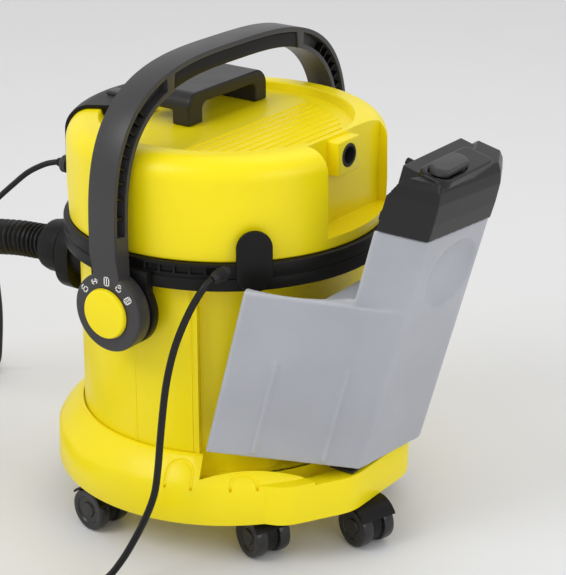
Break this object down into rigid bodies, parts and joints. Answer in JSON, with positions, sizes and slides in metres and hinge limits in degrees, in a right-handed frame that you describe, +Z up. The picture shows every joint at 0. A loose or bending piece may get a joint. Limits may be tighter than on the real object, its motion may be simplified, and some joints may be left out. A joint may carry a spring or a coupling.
{
  "type": "carpet cleaner",
  "caption": "Spray-extraction carpet cleaner: round base on castors, drum with lift-off head, bail handle, tilt-out water tank, suction hose, spray hose and mains lead.",
  "frame": {"origin": "on the floor, under the middle of the machine's outline without its hoses and mains lead", "axes": "+Z up; +X to the rear, where the fresh-water tank stands; -X to the front, where both hoses leave; +Y along the bail handle's hinge line"},
  "size_m": [0.9427, 0.6705, 0.4825],
  "materials": {
    "yellow": "glossy moulded ABS, bright yellow",
    "black": "fine-textured black plastic",
    "graphite": "satin dark grey plastic",
    "tank": "translucent grey-white polyethylene",
    "rubber": "soft black rubber",
    "steel": "bare steel",
    "foam": "open-cell filter foam",
    "brass": "turned brass",
    "white": "plain white plastic"
  },
  "bodies": {
    "base": {"base_chassis": "yellow", "tank_rest_pad": "rubber", "waste_container": "yellow", "container_seal": "rubber", "hose_port": "black", "suction_hose": "black", "suction_hose_coil": "black", "suction_hose_cuff": "black"},
    "collar": {"hose_collar": "black"},
    "head": {"head_ring": "black", "cable_tab": "black", "head_cover": "yellow", "carry_grip": "black", "control_panel": "black", "motor_housing": "black", "suction_motor": "steel", "spray_pump": "steel", "pump_inlet_tube": "rubber", "pump_outlet_tube": "rubber", "air_filter": "foam", "float_cage": "white", "tank_coupling_bush": "rubber", "spray_socket": "black", "spray_coupling": "black", "spray_hose": "black", "spray_hose_coil": "black", "spray_hose_fitting": "brass", "cable_gland": "rubber", "mains_cable": "black", "mains_cable_coil": "black", "mains_plug": "black"},
    "sleeve": {"coupling_sleeve": "black"},
    "bail": {"bail_handle": "graphite", "bail_grip": "black", "hub_cap_left": "yellow", "hub_cap_right": "yellow"},
    "tank": {"fresh_water_tank": "tank"},
    "cap": {"tank_cap": "black", "cap_spigot": "black", "cap_seal": "rubber", "dip_tube": "white"},
    "button": {"cap_button": "graphite"},
    "vacuum_rocker": {"vacuum_switch": "graphite"},
    "spray_rocker": {"spray_switch": "graphite"},
    "rotor": {"turbine_fan": "white", "motor_shaft": "steel"},
    "float": {"float_ball": "white"},
    "castor_1_swivel": {"castor_1_yoke": "black"},
    "castor_1_roll": {"castor_1_wheels": "black"},
    "castor_2_swivel": {"castor_2_yoke": "black"},
    "castor_2_roll": {"castor_2_wheels": "black"},
    "castor_3_swivel": {"castor_3_yoke": "black"},
    "castor_3_roll": {"castor_3_wheels": "black"},
    "castor_4_swivel": {"castor_4_yoke": "black"},
    "castor_4_roll": {"castor_4_wheels": "black"},
    "castor_5_swivel": {"castor_5_yoke": "black"},
    "castor_5_roll": {"castor_5_wheels": "black"}
  },
  "joints": [
    {"name": "head_lift", "type": "slide", "parent": "base", "child": "head", "axis": [0, 0, 1], "range_m": [0, 0.12]},
    {"name": "bail_swing", "type": "hinge", "parent": "head", "child": "bail", "pos_m": [-0.0534, 0, 0.2585], "axis": [0, 1, 0], "range_deg": [-8, 35]},
    {"name": "tank_tilt", "type": "hinge", "parent": "base", "child": "tank", "pos_m": [0.1346, 0, 0.09], "axis": [0, 1, 0], "range_deg": [-15.2, 10]},
    {"name": "cap_lift", "type": "slide", "parent": "tank", "child": "cap", "axis": [0.2622, 0, 0.965], "range_m": [0, 0.06]},
    {"name": "cap_press", "type": "slide", "parent": "cap", "child": "button", "axis": [0.2622, 0, 0.965], "range_m": [-0.0025, 0], "stiffness_N_per_m": 600, "springref_m": 0.0003},
    {"name": "vacuum_switch_rock", "type": "hinge", "parent": "head", "child": "vacuum_rocker", "pos_m": [-0.1734, 0.019, 0.4075], "axis": [0, 1, 0], "range_deg": [-6, 6]},
    {"name": "spray_switch_rock", "type": "hinge", "parent": "head", "child": "spray_rocker", "pos_m": [-0.1734, -0.019, 0.4075], "axis": [0, 1, 0], "range_deg": [-6, 6]},
    {"name": "turbine_spin", "type": "hinge", "parent": "head", "child": "rotor", "pos_m": [-0.0534, 0, 0.31], "axis": [0, 0, 1], "continuous": true},
    {"name": "float_rise", "type": "slide", "parent": "head", "child": "float", "axis": [0, 0, 1], "range_m": [0, 0.03]},
    {"name": "sleeve_pull", "type": "slide", "parent": "head", "child": "sleeve", "axis": [-1, 0, 0], "range_m": [0, 0.005], "stiffness_N_per_m": 400},
    {"name": "collar_turn", "type": "hinge", "parent": "base", "child": "collar", "pos_m": [-0.2189, -0.065, 0.252], "axis": [-1, 0, 0], "range_deg": [0, 40]},
    {"name": "castor_1_turn", "type": "hinge", "parent": "base", "child": "castor_1_swivel", "pos_m": [0.1154, -0.0149, 0.05], "axis": [0, 0, 1], "continuous": true},
    {"name": "castor_1_spin", "type": "hinge", "parent": "castor_1_swivel", "child": "castor_1_roll", "pos_m": [0.13056, -0.02, 0.0218], "axis": [0.319, 0.9478, 0], "continuous": true},
    {"name": "castor_2_turn", "type": "hinge", "parent": "base", "child": "castor_2_swivel", "pos_m": [0.0447, -0.0912, 0.05], "axis": [0, 0, 1], "continuous": true},
    {"name": "castor_2_spin", "type": "hinge", "parent": "castor_2_swivel", "child": "castor_2_roll", "pos_m": [0.05962, -0.09699, 0.0218], "axis": [0.3616, 0.9323, 0], "continuous": true},
    {"name": "castor_3_turn", "type": "hinge", "parent": "base", "child": "castor_3_swivel", "pos_m": [0.0447, 0.0912, 0.05], "axis": [0, 0, 1], "continuous": true},
    {"name": "castor_3_spin", "type": "hinge", "parent": "castor_3_swivel", "child": "castor_3_roll", "pos_m": [0.06008, 0.08679, 0.0218], "axis": [0.2756, 0.9613, 0], "continuous": true},
    {"name": "castor_4_turn", "type": "hinge", "parent": "base", "child": "castor_4_swivel", "pos_m": [-0.1232, -0.1436, 0.05], "axis": [0, 0, 1], "continuous": true},
    {"name": "castor_4_spin", "type": "hinge", "parent": "castor_4_swivel", "child": "castor_4_roll", "pos_m": [-0.10738, -0.14599, 0.0218], "axis": [0.1495, 0.9888, 0], "continuous": true},
    {"name": "castor_5_turn", "type": "hinge", "parent": "base", "child": "castor_5_swivel", "pos_m": [-0.1232, 0.1436, 0.05], "axis": [0, 0, 1], "continuous": true},
    {"name": "castor_5_spin", "type": "hinge", "parent": "castor_5_swivel", "child": "castor_5_roll", "pos_m": [-0.10761, 0.14, 0.0218], "axis": [0.225, 0.9744, 0], "continuous": true}
  ]
}
